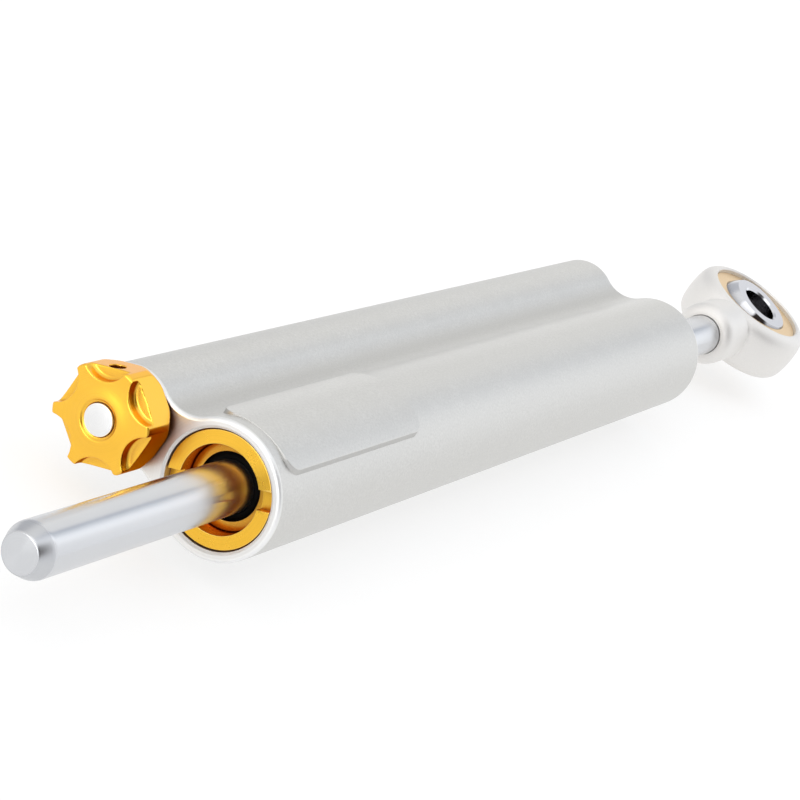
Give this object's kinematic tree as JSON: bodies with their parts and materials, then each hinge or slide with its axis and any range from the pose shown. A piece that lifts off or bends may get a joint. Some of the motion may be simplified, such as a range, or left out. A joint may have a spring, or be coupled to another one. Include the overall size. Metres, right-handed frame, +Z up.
{
  "type": "steering damper",
  "caption": "Through-rod hydraulic steering damper: satin two-bore housing, plated rod with a spherical rod end, gold seal heads and a gold click-stop damping knob on the small tube.",
  "frame": {"origin": "on the main bore's axis at the middle of the housing's length", "axes": "+X along the rod from the knob end to the rod end, +Y towards the small tube, +Z up through the raised panel"},
  "size_m": [0.3444, 0.0484, 0.0269],
  "materials": {
    "satin_housing": "bead blasted, satin",
    "gold_anodise": "gold anodised, satin",
    "plated_rod": "ground and hard chrome plated",
    "satin_nickel": "satin nickel plated",
    "pale_gold_race": "satin",
    "black_rubber": "moulded rubber",
    "bush_bronze": "machined bronze",
    "plain_steel": "machined steel",
    "white_band": "filled fluoropolymer band"
  },
  "bodies": {
    "barrel": {"body_housing": "satin_housing", "front_lock_ring": "gold_anodise", "front_seal_head": "gold_anodise", "front_wiper": "black_rubber", "front_rod_seal": "black_rubber", "front_rod_bush": "bush_bronze", "front_head_oring": "black_rubber", "rear_lock_ring": "gold_anodise", "rear_seal_head": "gold_anodise", "rear_wiper": "black_rubber", "rear_rod_seal": "black_rubber", "rear_rod_bush": "bush_bronze", "rear_head_oring": "black_rubber", "adjuster_plug": "plain_steel", "plug_oring": "black_rubber", "needle_guide": "bush_bronze", "valve_seat": "bush_bronze", "compensator_spring": "plain_steel", "rear_plug": "plain_steel", "rear_plug_oring": "black_rubber"},
    "piston_guide": {"piston_band": "white_band"},
    "rod": {"piston_rod": "plated_rod", "piston": "plain_steel", "piston_retaining_rings": "plain_steel", "piston_energiser": "black_rubber", "rod_end_housing": "satin_nickel", "rod_end_race": "pale_gold_race"},
    "ball": {"rod_end_ball": "plated_rod"},
    "knob": {"adjuster_knob": "gold_anodise", "knob_set_screw": "plain_steel", "adjuster_spindle": "plated_rod", "spindle_oring": "black_rubber", "detent_ball": "plain_steel", "detent_spring": "plain_steel"},
    "needle": {"metering_needle": "plain_steel"},
    "compensator": {"compensator_piston": "plain_steel", "compensator_oring": "black_rubber"}
  },
  "joints": [
    {"name": "rod_slide", "type": "slide", "parent": "barrel", "child": "piston_guide", "axis": [1, 0, 0], "range_m": [-0.0334, 0.0566]},
    {"name": "rod_roll", "type": "hinge", "parent": "piston_guide", "child": "rod", "pos_m": [0, 0, 0], "axis": [1, 0, 0], "continuous": true},
    {"name": "ball_tilt", "type": "hinge", "parent": "rod", "child": "ball", "pos_m": [0.167, 0, 0], "axis": [0, 0.9781, 0.2079], "range_deg": [-13, 13]},
    {"name": "knob_turn", "type": "hinge", "parent": "barrel", "child": "knob", "pos_m": [0, 0.0222, 0], "axis": [1, 0, 0], "range_deg": [-360, 360]},
    {"name": "needle_slide", "type": "slide", "parent": "knob", "child": "needle", "axis": [1, 0, 0], "range_m": [-0.00105, 0.00105]},
    {"name": "compensator_slide", "type": "slide", "parent": "barrel", "child": "compensator", "axis": [1, 0, 0], "range_m": [-0.003, 0.003], "stiffness_N_per_m": 1500, "deforming": ["compensator_spring"]}
  ],
  "couplings": [
    {"joint": "needle_slide", "follows": "knob_turn", "m_per_rad": 0.00015915}
  ]
}
